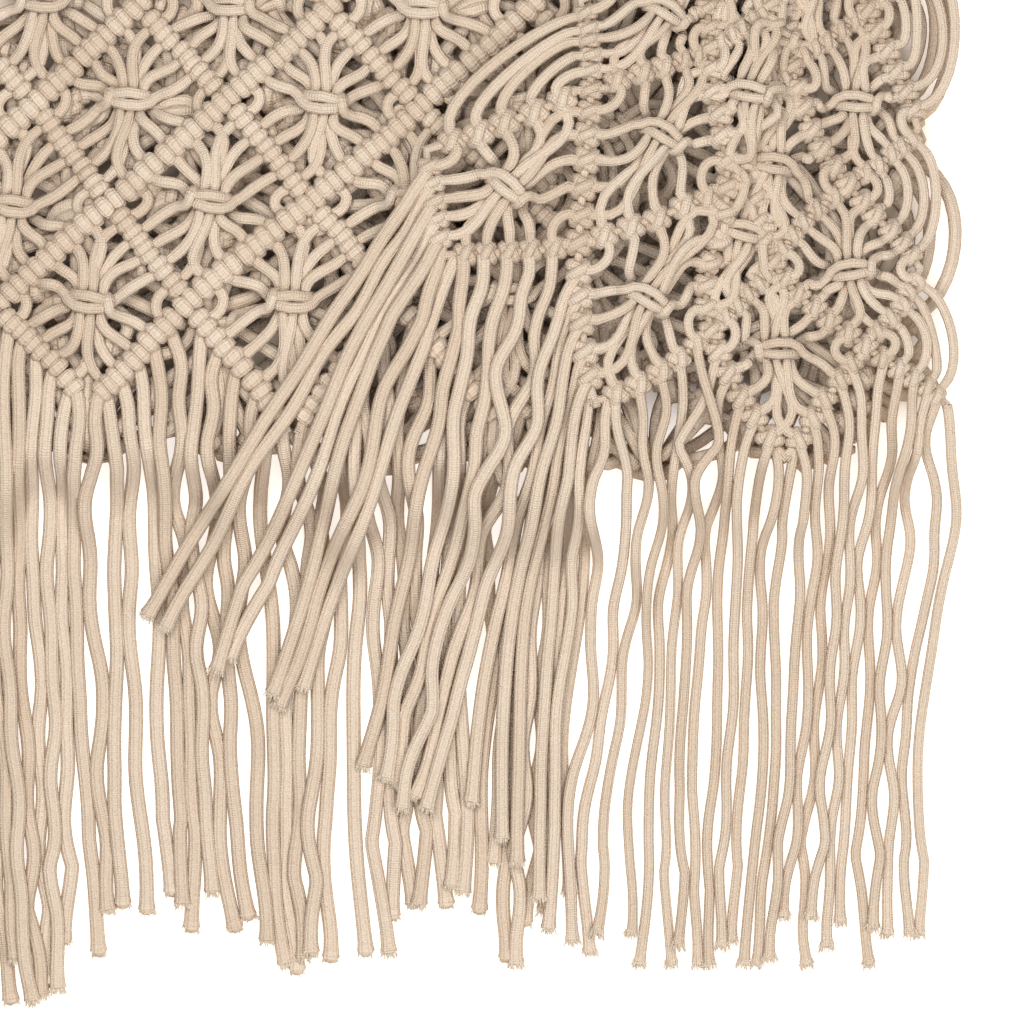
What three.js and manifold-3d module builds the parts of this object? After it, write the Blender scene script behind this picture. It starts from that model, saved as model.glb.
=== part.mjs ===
// Macrame table runner of natural cotton cord, lying folded in four layers on a flat surface.
// The net is three and a half diamonds wide. Ridged diagonal bars frame the diamonds, the strands of each
// diamond run to a knot in its middle, and both ends hang out as long fringes.
// Millimetres, +Z up. u counts half diamonds across the runner, v counts half diamonds along it.
import * as THREE from "three";
import { mergeVertices } from "three/addons/utils/BufferGeometryUtils.js";
import Module from "manifold-3d";

// The cord and what is knotted from it
const CORD = 5;
const BAR_HALF_WIDTH = 1.08 * CORD;
const BAR_HALF_HEIGHT = CORD;
const BAR_GROOVE = 0.74;
const PLAIN_BAR_SCALE = 0.85;
const LOW_BAR_SCALE = 0.9;
const FOLDED_BAR_SCALE = 0.75;
const RIDGES_PER_SIDE = 2;
const KNOT_HALF_WIDTH = 2.2 * CORD;
const KNOT_HALF_HEIGHT = CORD;
const KNOT_WRAP_HEIGHT = 1.1 * CORD;
const KNOT_GROOVE = 0.76;
const RAY_HALF_WIDTH = 0.52 * CORD;
const RAY_HALF_HEIGHT = 0.44 * CORD;
const STRAND_HALF_WIDTH = 0.4 * CORD;
const STRAND_HEIGHT = 0.8 * CORD;
const PART_GAP = 0.4;

// The lattice: columns of half diamonds, and the rows where the runner turns over
const COLUMNS = 7;
const ROWS = 23;
const FIRST_FOLD = 5;
const MIDDLE_FOLD = 10;
const LAST_FOLD = 16;
const FOLD_ROWS = 0.2;
const SHOWN_ROWS = 4;

// The layers lie one above the other, this far apart from middle to middle
const LAYER_PITCH = 12;
const LOWEST_MIDDLE = BAR_HALF_HEIGHT;
const RAMP = 45;
const RAMP_MARGIN = 8;

// Where the middle of the whole part lies in the plan that the tables below use
const PLAN_CENTRE = new THREE.Vector2(-46.9, 70.8);

// Plan of each layer: a row for each row of the lattice, with the places of columns 1, 3, 5 and 7, and
// of a column -1 outside the net before them
const LOWER_END = [
  { v: 0, x: [-347, -260, -160, -58, 40], y: [70, 64, 45, 37, 48] },
  { v: 1, x: [-340, -256, -161, -57, 44], y: [95, 103, 104, 105, 111] },
  { v: 2, x: [-346, -249, -150, -50, 48], y: [146, 152, 154, 155, 160] },
  { v: 3, x: [-334, -238, -142, -46, 50], y: [197, 203, 205, 201, 205] },
  { v: 4, x: [-328, -234, -139, -44, 51], y: [257, 254, 251, 250, 252] },
  { v: 5, x: [-324, -231, -137, -43, 51], y: [314, 310, 307, 307, 308] },
];
const MIDDLE_TURN = { v: 10, x: [-347, -209, -71, 68, 206], y: [44, 40, 34, 31, 36] };
const UPPER_END = [
  { v: 16, x: [20, 78, 122, 160, 203], y: [372, 370, 358, 345, 336] },
  { v: 17, x: [18, 82, 122, 155, 203], y: [348, 343, 324, 305, 284] },
  { v: 18, x: [14, 88, 124, 148, 203], y: [322, 316, 290, 264, 238] },
  { v: 19, x: [8, 85, 122, 139, 202], y: [292, 284, 251, 221, 191] },
  { v: 20, x: [-4, 76, 112, 129, 202], y: [253, 248, 208, 173, 156] },
  { v: 21, x: [-51, 39, 101, 130, 203], y: [217, 209, 161, 124, 121] },
  { v: 22, x: [-74, -2, 67, 132, 211], y: [191, 161, 106, 81, 86] },
  { v: 23, x: [-106, -35, 40, 136, 216], y: [155, 126, 53, 26, 53] },
];
const LAYERS = {
  lowerEnd: LOWER_END,
  upperMiddle: [LOWER_END.at(-1), MIDDLE_TURN],
  lowerMiddle: [MIDDLE_TURN, UPPER_END[0]],
  upperEnd: UPPER_END,
};

// Strands of each strip between two columns at an end, at slots along its bar, and the leading cords
// that come out at each tip of the zigzag bar
const STRIP_STRANDS = 5;
const FIRST_SLOT = 0.17;
const SLOT_STEP = 0.165;
const LEADER_OFFSET = 0.065;

// Where the fringe strands end in plan, from left to right: the first and last one of each strip, and
// those at each tip. crest is the height at which strands pass over the net, rest the height of what
// they lie on.
const LOWER_FRINGE = [
  { tip: 0, x: [-304, -304], y: [-232, -232], crest: 29 },
  { strip: 0, x: [-299, -264], y: [-236, -231], crest: 29 },
  { strip: 1, x: [-258, -222], y: [-240, -225], crest: 29 },
  { tip: 2, x: [-216, -209], y: [-214, -200] },
  { strip: 2, x: [-203, -160], y: [-196, -200] },
  { strip: 3, x: [-155, -118], y: [-192, -222] },
  { tip: 4, x: [-112, -105], y: [-218, -222] },
  { strip: 4, x: [-100, -60], y: [-226, -205] },
  { strip: 5, x: [-55, -29], y: [-195, -186] },
  { tip: 6, x: [-24, -18], y: [-190, -200] },
  { strip: 6, x: [-12, 16], y: [-222, -190] },
];
const UPPER_FRINGE = [
  { strip: 0, x: [-185, -131], y: [-62, -83], crest: 44, rest: 8 },
  { tip: 1, x: [-117, -106], y: [-90, -97], crest: 44, rest: 8 },
  { strip: 1, x: [-79, -51], y: [-130, -141], crest: 44, rest: 8 },
  { strip: 2, x: [-40, 10], y: [-152, -178], crest: 44, rest: 8 },
  { tip: 3, x: [22, 28], y: [-198, -212], rest: 8 },
  { strip: 3, x: [37, 74], y: [-215, -224] },
  { strip: 4, x: [80, 107], y: [-226, -219] },
  { tip: 5, x: [114, 120], y: [-221, -220] },
  { strip: 5, x: [127, 158], y: [-216, -215] },
  { strip: 6, x: [164, 187], y: [-216, -210] },
  { tip: 7, x: [196, 196], y: [-210, -210] },
];
const DROP_START = 20;
const DROP_END = -75;
const STRAND_STEPS = 7;
const STRAND_LEAD = 0.3;
const ROOT_DROOP = 0.4;
const ROOT_SHARE = 0.15;

const COTTON = { color: 0xdcc6a6, roughness: 0.95, metalness: 0 };

const wasm = await Module();
wasm.setup();

const smooth = (t) => THREE.MathUtils.smoothstep(t, 0, 1);

// Place in plan of a lattice point on one layer, on smooth curves through its columns and its rows
function planPoint(rows, u, v) {
  const places = rows.map((row) => {
    const columns = new THREE.SplineCurve(row.x.map((x, n) => new THREE.Vector2(x, row.y[n])));
    return { v: row.v, point: columns.getPoint((u + 1) / (COLUMNS + 1)) };
  });
  const last = places.length - 1;
  const found = places.findIndex((place) => place.v > v) - 1;
  const k = found < 0 ? last - 1 : found;
  const [a, b] = [places[k], places[k + 1]];
  const beyond = (one, two) => one.point.clone().multiplyScalar(2).sub(two.point);
  const before = places[k - 1]?.point ?? beyond(a, b);
  const after = places[k + 2]?.point ?? beyond(b, a);
  const curve = new THREE.SplineCurve([before, a.point, b.point, after]);
  return curve.getPoint((1 + (v - a.v) / (b.v - a.v)) / 3);
}

// 1 on the covered side of the line from a to b and a margin beyond it, falling to 0 over the ramp
function besideLine(point, a, b) {
  const along = new THREE.Vector2().subVectors(b, a).normalize();
  const off = (point.x - a.x) * along.y - (point.y - a.y) * along.x;
  return 1 - smooth((-off - RAMP_MARGIN) / RAMP);
}

const lowerLeftFold = planPoint(LAYERS.lowerEnd, 0, FIRST_FOLD);
const lowerRightFold = planPoint(LAYERS.lowerEnd, COLUMNS, FIRST_FOLD);
const middleLeft = planPoint(LAYERS.upperMiddle, 0, MIDDLE_FOLD);
const middleRight = planPoint(LAYERS.upperMiddle, COLUMNS, MIDDLE_FOLD);
const lastLeft = planPoint(LAYERS.upperEnd, 0, LAST_FOLD);
const lowerEndRight = planPoint(LAYERS.lowerEnd, COLUMNS, 1);

const overLowerMiddle = (p) => besideLine(p, middleLeft, lastLeft);
const overUpperMiddle = (p) =>
  besideLine(p, middleLeft, lowerLeftFold) *
  besideLine(p, lowerRightFold, middleRight) *
  besideLine(p, lowerLeftFold, lowerRightFold);
const overLowerEnd = (p) =>
  besideLine(p, lowerRightFold, lowerEndRight) * besideLine(p, lowerLeftFold, lowerRightFold);

// Height of the middle of a layer, which lies on all the layers beneath it
const HEIGHTS = {
  lowerMiddle: () => LOWEST_MIDDLE,
  upperMiddle: (p) => LOWEST_MIDDLE + LAYER_PITCH * overLowerMiddle(p),
  lowerEnd: (p) => LOWEST_MIDDLE + LAYER_PITCH * (overLowerMiddle(p) + overUpperMiddle(p)),
  upperEnd: (p) => LOWEST_MIDDLE + LAYER_PITCH * (1 + overUpperMiddle(p) + overLowerEnd(p)),
};

// A fold is half a turn about a line just inside it, from one layer to the next
const FOLDS = [
  { v: FIRST_FOLD, from: "lowerEnd", to: "upperMiddle", outward: 1 },
  { v: MIDDLE_FOLD, from: "upperMiddle", to: "lowerMiddle", outward: -1 },
  { v: LAST_FOLD, from: "lowerMiddle", to: "upperEnd", outward: 1 },
];

// The rows beside a fold are stretched over what the fold takes of them
function stretchedRow(v) {
  const near = FOLDS.find((fold) => Math.abs(v - fold.v) < 1);
  if (!near) return v;
  const off = v - near.v;
  return near.v + (Math.sign(off) * (Math.abs(off) - FOLD_ROWS)) / (1 - FOLD_ROWS);
}

// Point of the runner's middle surface at a lattice place
function surface(u, v) {
  const fold = FOLDS.find((one) => Math.abs(v - one.v) < FOLD_ROWS);
  if (fold) {
    const plan = planPoint(LAYERS[fold.from], u, fold.v);
    const from = HEIGHTS[fold.from](plan);
    const to = HEIGHTS[fold.to](plan);
    const turn = ((v - fold.v) / FOLD_ROWS) * (Math.PI / 2);
    const radius = Math.abs(to - from) / 2;
    const z = (from + to) / 2 + ((to - from) / 2) * Math.sin(turn);
    return new THREE.Vector3(plan.x, plan.y + fold.outward * radius * Math.cos(turn), z);
  }
  const passed = FOLDS.filter((one) => v > one.v).at(-1);
  const name = passed ? passed.to : "lowerEnd";
  const plan = planPoint(LAYERS[name], u, THREE.MathUtils.clamp(stretchedRow(v), 0, ROWS));
  return new THREE.Vector3(plan.x, plan.y, HEIGHTS[name](plan));
}

// Unit normal of the runner's front face
function faceNormal(u, v) {
  const step = 0.02;
  const across = surface(u + step, v).sub(surface(u - step, v));
  const along = surface(u, v + step).sub(surface(u, v - step));
  return across.cross(along).normalize();
}

// Closed solid through rings of equally many points
function loft(rings) {
  const sides = rings[0].length;
  const points = rings.flat();
  const faces = [];
  for (let r = 0; r + 1 < rings.length; r++) {
    for (let s = 0; s < sides; s++) {
      const a = r * sides + s;
      const b = r * sides + ((s + 1) % sides);
      faces.push(a, b, b + sides, a, b + sides, a + sides);
    }
  }
  const lastRing = (rings.length - 1) * sides;
  for (let s = 1; s + 1 < sides; s++) {
    faces.push(0, s + 1, s, lastRing, lastRing + s, lastRing + s + 1);
  }
  const geometry = new THREE.BufferGeometry().setFromPoints(points);
  geometry.setIndex(faces);
  return geometry;
}

function solidOf(geometry) {
  const merged = mergeVertices(geometry, 1e-4);
  const vertProperties = new Float32Array(merged.attributes.position.array);
  const triVerts = new Uint32Array(merged.index.array);
  const mesh = new wasm.Mesh({ numProp: 3, vertProperties, triVerts });
  const solid = new wasm.Manifold(mesh);
  if (solid.volume() >= 0) return solid;
  mesh.triVerts = triVerts.reverse();
  return new wasm.Manifold(mesh);
}

const joined = (solids) => wasm.Manifold.union(solids);

// Ring of a bar at one place: wide is its width, and front and back its height on either face
function barRing(centre, along, normal, { wide, front, back }, extra) {
  const side = new THREE.Vector3().crossVectors(along, normal).normalize();
  const halfWidth = BAR_HALF_WIDTH * wide + extra;
  const top = BAR_HALF_HEIGHT * front + extra;
  const bottom = -BAR_HALF_HEIGHT * back - extra;
  const corners = [
    [-halfWidth, bottom],
    [halfWidth, bottom],
    [halfWidth, top],
    [-halfWidth, top],
  ];
  return corners.map(([w, h]) => {
    const corner = centre.clone().addScaledVector(side, w).addScaledVector(normal, h);
    return corner.setZ(Math.max(corner.z, 0));
  });
}

const PLAIN = { wide: PLAIN_BAR_SCALE, front: 1, back: 1 };
const FOLDED = { wide: PLAIN_BAR_SCALE, front: FOLDED_BAR_SCALE, back: FOLDED_BAR_SCALE };
const FULL = { wide: 1, front: 1, back: 1 };

const touchesFold = (v) => FOLDS.some((fold) => fold.v === v);
const isShownRow = (v) => v < SHOWN_ROWS || v >= ROWS - SHOWN_ROWS;

// Places along one side of a diamond, from row v to row v + 1, with the bar's shape at each.
// The sides of the shown end layers are ridged on their upper face and flat beneath.
function sideStations(v) {
  if (isShownRow(v)) {
    const steps = 2 * RIDGES_PER_SIDE;
    const upperFace = v < FIRST_FOLD ? "front" : "back";
    const groove = { ...FULL, wide: BAR_GROOVE, [upperFace]: BAR_GROOVE };
    return Array.from({ length: steps }, (_, n) => ({ t: n / steps, shape: n % 2 ? FULL : groove }));
  }
  const starts = touchesFold(v) ? [0, FOLD_ROWS / 2, FOLD_ROWS] : [];
  const ends = touchesFold(v + 1) ? [1 - FOLD_ROWS, 1 - FOLD_ROWS / 2] : [];
  const plain = touchesFold(v) ? [0.5] : [0];
  return [
    ...starts.map((t) => ({ t, shape: FOLDED })),
    ...plain.map((t) => ({ t, shape: PLAIN })),
    ...ends.map((t) => ({ t, shape: FOLDED })),
  ];
}

// One straight bar of the lattice. lean is +1 or -1 column for each row, and the bars of lean -1 are the
// lower ones where two cross.
function bar({ u, v, lean, sides }, extra = 0, overrun = 0) {
  const stations = [];
  for (let n = 0; n < sides; n++) {
    for (const { t, shape } of sideStations(v + n)) stations.push({ d: n + t, shape });
  }
  stations.push({ d: sides, shape: stations[0].shape });
  const places = stations.map(({ d }) => surface(u + lean * d, v + d));
  const last = places.length - 1;
  const rings = stations.map(({ d, shape }, n) => {
    const along = new THREE.Vector3()
      .subVectors(places[Math.min(n + 1, last)], places[Math.max(n - 1, 0)])
      .normalize();
    const beyond = n === 0 ? -overrun : n === last ? overrun : 0;
    const centre = places[n].clone().addScaledVector(along, beyond);
    const scale = lean < 0 ? LOW_BAR_SCALE : 1;
    const own = { ...shape, front: scale * shape.front, back: scale * shape.back };
    return barRing(centre, along, faceNormal(u + lean * d, v + d), extra ? FULL : own, extra);
  });
  return solidOf(loft(rings));
}

// The bars of the net, each from where it leaves an edge to where it meets the other one
function netBars() {
  const starts = [];
  for (let u = 1; u < COLUMNS; u += 2) starts.push({ u, v: 1, lean: 1 }, { u, v: 1, lean: -1 });
  for (let v = 2; v < ROWS - 1; v += 2) starts.push({ u: 0, v, lean: 1 });
  for (let v = 1; v < ROWS - 1; v += 2) starts.push({ u: COLUMNS, v, lean: -1 });
  return starts.map((start) => {
    const across = start.lean > 0 ? COLUMNS - start.u : start.u;
    return { ...start, sides: Math.min(across, ROWS - 1 - start.v) };
  });
}

// The zigzag bar that closes an end, as one bar for each strip between two columns
function zigzagBars(endRow) {
  const v = endRow === 0 ? 0 : ROWS - 1;
  const bars = [];
  for (let u = 0; u < COLUMNS; u += 2) {
    bars.push({ u, v, lean: 1, sides: 1 });
    if (u > 0) bars.push({ u, v, lean: -1, sides: 1 });
  }
  return bars;
}

// A strand with a flat underside between places of the middle surface
function strand(places, halfWidth, halfHeight) {
  const rings = places.map((place, n) => {
    const along = new THREE.Vector3().subVectors(
      places[Math.min(n + 1, places.length - 1)],
      places[Math.max(n - 1, 0)],
    );
    const side = new THREE.Vector3(along.y, -along.x, 0).normalize();
    return [
      place.clone().addScaledVector(side, -halfWidth).setZ(place.z - halfHeight),
      place.clone().addScaledVector(side, halfWidth).setZ(place.z - halfHeight),
      place.clone().setZ(place.z + halfHeight),
    ];
  });
  return solidOf(loft(rings));
}

// The knot in the middle of a diamond: two wraps round the gathered strands
function knot(u, v) {
  const centre = surface(u, v);
  const along = surface(u, v + 0.1).sub(surface(u, v - 0.1)).normalize();
  const up = new THREE.Vector3(0, 0, 1);
  const side = new THREE.Vector3().crossVectors(along, up).normalize();
  const sections = [
    { d: -1, size: 1 },
    { d: 0, size: KNOT_GROOVE },
    { d: 1, size: 1 },
  ];
  const rings = sections.map(({ d, size }) => {
    const middle = centre.clone().addScaledVector(along, d * KNOT_WRAP_HEIGHT);
    const corners = [[-1, -1], [1, -1], [1, 1], [-1, 1]];
    return corners.map(([w, h]) =>
      middle
        .clone()
        .addScaledVector(side, w * KNOT_HALF_WIDTH * size)
        .addScaledVector(up, h * KNOT_HALF_HEIGHT * size),
    );
  });
  return solidOf(loft(rings));
}

// The strands of a diamond run from its four sides to the knot: an outer and an inner one on each, and
// only one in the shown row that is furthest from the end
function rays(u, v) {
  const single = v === SHOWN_ROWS - 1 || v === ROWS - SHOWN_ROWS;
  const pair = [
    { t: 0.27, reach: 0.16, rise: 0.04 },
    { t: 0.64, reach: 0.07, rise: 0.04 },
  ];
  const slots = single ? [{ t: 0.45, reach: 0.12, rise: 0.04 }] : pair;
  const solids = [];
  for (const side of [-1, 1]) {
    for (const end of [-1, 1]) {
      for (const { t, reach, rise } of slots) {
        const root = surface(u + side * (1 - t), v + end * t);
        const tip = surface(u + side * reach, v + end * rise);
        solids.push(strand([root, tip], RAY_HALF_WIDTH, RAY_HALF_HEIGHT));
      }
    }
  }
  return solids;
}

// The two long strands of a half diamond at a selvedge, bowed outwards
function selvedgeStrands(u, v) {
  const inward = u === 0 ? 1 : -1;
  return [
    { t: 0.2, bow: 0.18 },
    { t: 0.55, bow: 0.08 },
  ].map(({ t, bow }) => {
    const half = 1 - t;
    const at = (dv, out) => surface(u + inward * (t - out), v + dv);
    const places = [at(-half, 0), at(-half / 2, bow), at(half / 2, bow), at(half, 0)];
    return strand(places, RAY_HALF_WIDTH, RAY_HALF_HEIGHT);
  });
}

// The knotted net of the whole runner, parted from the zigzag bars at its ends
function net() {
  const solids = netBars().map((one) => bar(one));
  for (let v = 1; v < ROWS; v++) {
    if (!isShownRow(v)) continue;
    for (let u = v % 2 ? 2 : 1; u < COLUMNS; u += 2) {
      solids.push(knot(u, v), ...rays(u, v));
    }
    solids.push(...selvedgeStrands(v % 2 ? 0 : COLUMNS, v));
  }
  const ends = [...zigzagBars(0), ...zigzagBars(ROWS)];
  const clearance = ends.map((one) => bar(one, PART_GAP, BAR_HALF_WIDTH));
  return joined(solids).subtract(joined(clearance));
}

// Roots of the strands of one strip or at one tip of an end's zigzag bar. The strips of even number
// rise from the lower end's tips and fall to the upper end's tips.
function fringeRoots(endRow, { strip, tip }) {
  const inward = endRow === 0 ? 1 : -1;
  if (tip !== undefined) {
    const offsets = tip === 0 || tip === COLUMNS ? [0] : [-LEADER_OFFSET, LEADER_OFFSET];
    return offsets.map((off) => surface(tip + off, endRow));
  }
  const rises = (strip % 2 === 0) === (endRow === 0);
  return Array.from({ length: STRIP_STRANDS }, (_, k) => {
    const slot = FIRST_SLOT + SLOT_STEP * k;
    return surface(strip + slot, endRow + inward * (rises ? slot : 1 - slot));
  });
}

// Height of a fringe strand: level with its root over the net, then down to what it lies on
function strandHeight(y, share, rootHeight, { crest, rest = 0 }) {
  const drop = smooth((DROP_START - y) / (DROP_START - DROP_END));
  const low = rest + STRAND_HEIGHT / 2;
  const level = THREE.MathUtils.lerp(crest ?? rootHeight, low, drop);
  return THREE.MathUtils.lerp(rootHeight, level, smooth(share / ROOT_SHARE));
}

// One fringe strand on a smooth course from its root to its end
function fringeStrand(root, end, group) {
  const lead = STRAND_LEAD * root.distanceTo(end);
  const away = new THREE.Vector3().subVectors(end, root).normalize();
  const down = new THREE.Vector3(0, -1, 0);
  const leaving = away.clone().lerp(down, ROOT_DROOP);
  const course = new THREE.CubicBezierCurve3(
    root,
    root.clone().addScaledVector(leaving, lead),
    end.clone().addScaledVector(away, -lead),
    end,
  );
  const places = [];
  for (let n = 0; n <= STRAND_STEPS; n++) {
    const share = n / STRAND_STEPS;
    const place = course.getPoint(share);
    places.push(place.setZ(strandHeight(place.y, share, root.z, group)));
  }
  return strand(places, STRAND_HALF_WIDTH, STRAND_HEIGHT / 2);
}

// A fringe: the zigzag bar at an end of the runner and all the strands that hang from it
function fringe(endRow, table) {
  const solids = zigzagBars(endRow).map((one) => bar(one, 0, BAR_HALF_WIDTH / 2));
  for (const group of table) {
    const roots = fringeRoots(endRow, group);
    roots.forEach((root, k) => {
      const t = roots.length > 1 ? k / (roots.length - 1) : 0;
      const x = THREE.MathUtils.lerp(...group.x, t);
      const y = THREE.MathUtils.lerp(...group.y, t);
      solids.push(fringeStrand(root, new THREE.Vector3(x, y, root.z), group));
    });
  }
  return joined(solids);
}

function meshOf(name, solid) {
  const { vertProperties, triVerts } = solid.getMesh();
  const geometry = new THREE.BufferGeometry();
  geometry.setAttribute("position", new THREE.BufferAttribute(vertProperties, 3));
  geometry.setIndex(new THREE.BufferAttribute(triVerts, 1));
  geometry.computeVertexNormals();
  const mesh = new THREE.Mesh(geometry, new THREE.MeshStandardMaterial(COTTON));
  mesh.name = name;
  return mesh;
}

const runner = new THREE.Group();
runner.position.set(-PLAN_CENTRE.x, -PLAN_CENTRE.y, 0);
runner.add(
  meshOf("net", net()),
  meshOf("fringe_lower", fringe(0, LOWER_FRINGE)),
  meshOf("fringe_upper", fringe(ROWS, UPPER_FRINGE)),
);

export default runner;
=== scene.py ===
# Macrame table runner of natural cotton cord, lying folded in four layers on a pale floor.
# Each of its 42 cords is a tube along its own course, through hitches, floats and knots, and out
# into the fringes. Millimetres until a mesh is made. u counts half diamonds across the runner and
# v half diamonds along it, from the lower end to the upper end.
import math

import bpy
import numpy as np
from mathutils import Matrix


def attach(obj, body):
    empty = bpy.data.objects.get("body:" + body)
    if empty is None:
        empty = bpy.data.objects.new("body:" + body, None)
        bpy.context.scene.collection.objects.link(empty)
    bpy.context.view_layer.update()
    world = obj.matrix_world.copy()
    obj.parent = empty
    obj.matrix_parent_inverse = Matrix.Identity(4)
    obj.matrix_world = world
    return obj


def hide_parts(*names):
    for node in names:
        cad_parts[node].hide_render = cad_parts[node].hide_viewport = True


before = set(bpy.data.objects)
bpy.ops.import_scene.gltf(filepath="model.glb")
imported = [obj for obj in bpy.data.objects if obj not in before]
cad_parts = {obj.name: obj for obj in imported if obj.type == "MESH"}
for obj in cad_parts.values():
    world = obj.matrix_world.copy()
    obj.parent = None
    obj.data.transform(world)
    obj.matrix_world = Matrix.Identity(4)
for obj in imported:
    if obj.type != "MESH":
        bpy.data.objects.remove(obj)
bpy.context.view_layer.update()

rng = np.random.default_rng(11)

# The cord and the lattice. The cord lies slack and full at the left and is pulled thinner at the right.
CORD = 5.0
FULL_RADIUS = 0.61 * CORD
PULLED_RADIUS = 0.52 * CORD
PULLED_FROM = -20.0
PULLED_TO = 70.0
KNOT_SHARE = 0.96
LEADER_SHARE = 0.8
SLACK_SHARE = 1.25
COLUMNS = 7
ROWS = 23
STRIP_CORDS = 5
FIRST_SLOT = 0.17
SLOT_STEP = 0.165
SLOTS = FIRST_SLOT + SLOT_STEP * np.arange(STRIP_CORDS)

# Layers and folds, and the crease that runs along the upper end: where it rises and drops across the
# runner, and where it fades out along it
FOLD_ROWS = 0.2
FIRST_FOLD = 5
MIDDLE_FOLD = 10
LAST_FOLD = 16
LAYER_PITCH = 12.0
LOWEST_MIDDLE = 5.0
RAMP = 45.0
RAMP_MARGIN = 8.0
PLEAT_HEIGHT = 9.0
PLEAT_LEAN = 0.7
PLEAT_RISE = 1.6
PLEAT_RISE_WIDTH = 1.5
PLEAT_DROP = 3.15
PLEAT_DROP_WIDTH = 0.45
PLEAT_END = 22.2
PLEAT_FADE = 1.4

# Plan of each layer, as rows of (v, x of columns -1 1 3 5 7, y of the same columns). Column -1 is outside
# the net.
PLAN_CENTRE = np.array([-46.9, 70.8, 0.0])
LOWER_END = [
    (0, [-347, -260, -160, -58, 40], [70, 64, 45, 37, 48]),
    (1, [-340, -256, -161, -57, 44], [95, 103, 104, 105, 111]),
    (2, [-346, -249, -150, -50, 48], [146, 152, 154, 155, 160]),
    (3, [-334, -238, -142, -46, 50], [197, 203, 205, 201, 205]),
    (4, [-328, -234, -139, -44, 51], [257, 254, 251, 250, 252]),
    (5, [-324, -231, -137, -43, 51], [314, 310, 307, 307, 308]),
]
MIDDLE_TURN = (10, [-347, -209, -71, 68, 206], [44, 40, 34, 31, 36])
UPPER_END = [
    (16, [20, 78, 122, 160, 203], [372, 370, 358, 345, 336]),
    (17, [18, 82, 122, 155, 203], [348, 343, 324, 305, 284]),
    (18, [14, 88, 124, 148, 203], [322, 316, 290, 264, 238]),
    (19, [8, 85, 122, 139, 202], [292, 284, 251, 221, 191]),
    (20, [-4, 76, 112, 129, 202], [253, 248, 208, 173, 156]),
    (21, [-51, 39, 101, 130, 203], [217, 209, 161, 124, 121]),
    (22, [-74, -2, 67, 132, 211], [191, 161, 106, 81, 86]),
    (23, [-106, -35, 40, 136, 216], [155, 126, 53, 26, 53]),
]
LAYERS = [
    ("lower_end", 0, FIRST_FOLD, LOWER_END),
    ("upper_middle", FIRST_FOLD, MIDDLE_FOLD, [LOWER_END[-1], MIDDLE_TURN]),
    ("lower_middle", MIDDLE_FOLD, LAST_FOLD, [MIDDLE_TURN, UPPER_END[0]]),
    ("upper_end", LAST_FOLD, ROWS, UPPER_END),
]
TOP_LAYER = len(LAYERS) - 1

# Course of a double half hitch: along the bar in quarters of a slot, then towards the side that the
# cord comes from and towards the front face, both in cord widths, then the share of the radius. The
# two wraps are pressed wide on the front face, and the cord crosses between them on the back. Bars that
# lean right are broader.
HITCH = np.array([
    (-0.2, 1.30, -0.35, 1.0), (-0.3, 0.80, -0.60, 0.95), (-0.5, 0.10, -0.70, 0.9), (-0.85, -0.46, -0.50, 1.0),
    (-1.0, -0.60, -0.05, 1.1), (-1.0, -0.44, 0.34, 1.16), (-1.0, 0.00, 0.44, 1.2), (-1.0, 0.44, 0.34, 1.16),
    (-0.95, 0.60, -0.10, 1.1), (-0.65, 0.62, -0.75, 0.9), (-0.25, 0.25, -1.15, 0.86),
    (0.25, -0.25, -1.15, 0.86), (0.65, -0.62, -0.75, 0.9), (0.95, -0.60, -0.10, 1.1),
    (1.0, -0.44, 0.34, 1.16), (1.0, 0.00, 0.44, 1.2), (1.0, 0.44, 0.34, 1.16), (1.0, 0.60, -0.05, 1.1),
    (0.85, 0.46, -0.50, 1.0), (0.5, -0.10, -0.70, 0.9), (0.3, -0.80, -0.60, 0.95), (0.2, -1.30, -0.35, 1.0),
])
HITCH_SHARES = (0.9, 1.15)
BROAD = 1.18
HITCH_JITTER = 0.4
TAIL = 2

# Course of the right working cord of a square knot, in cord widths: to the right, towards the side
# that the cords come from, and to the front. The left one is its mirror image, front to back too.
KNOT = np.array([
    (3.0, 1.0, -0.1), (2.25, 0.75, -0.7), (1.95, 0.35, -1.35), (1.95, -0.35, -1.35), (1.8, -0.75, -0.4),
    (1.2, -0.6, 0.95), (0.0, -0.62, 1.42), (-1.2, -0.45, 1.15), (-1.9, 0.0, 0.4), (-1.2, 0.45, 1.15),
    (0.0, 0.62, 1.42), (1.2, 0.52, 1.1), (2.0, 0.1, 0.6), (2.4, -0.5, 0.25), (3.0, -1.0, 0.0),
])
TURNED_KNOTS = 0.25
WAIST_STEP = 0.5
WAIST_DEPTH = 0.42
WAIST_REACH = 1.15
WAIST_SHARE = 0.78

# Floats between the bars: how far they bulge and bow, and how many places each has
FLOAT_LIFT = 0.4
FLOAT_JITTER = 0.8
FILLER_PULL = 1.15
FILLER_PLACES = 6
WORKER_PULL = 0.8
WORKER_SQUARE = 0.5
WORKER_PLACES = 4
LOOP_BOW = 0.75
LOOP_PLACES = 8
LEFT_BOW = 0.6
RIGHT_BOW = 0.85
BOW_JITTER = 0.15
SELVEDGE_PLACES = 10

# Leading cords: where each starts, as (u, v, lean), and its places along one side of a diamond
LEADER_STARTS = [(0, 0, 1)] + [(u, 0, lean) for u in range(2, COLUMNS, 2) for lean in (-1, 1)]
LEADER_PLACES = np.array([0.12, 0.3, 0.5, 0.7, 0.88])
LEADER_END = 0.05

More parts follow.
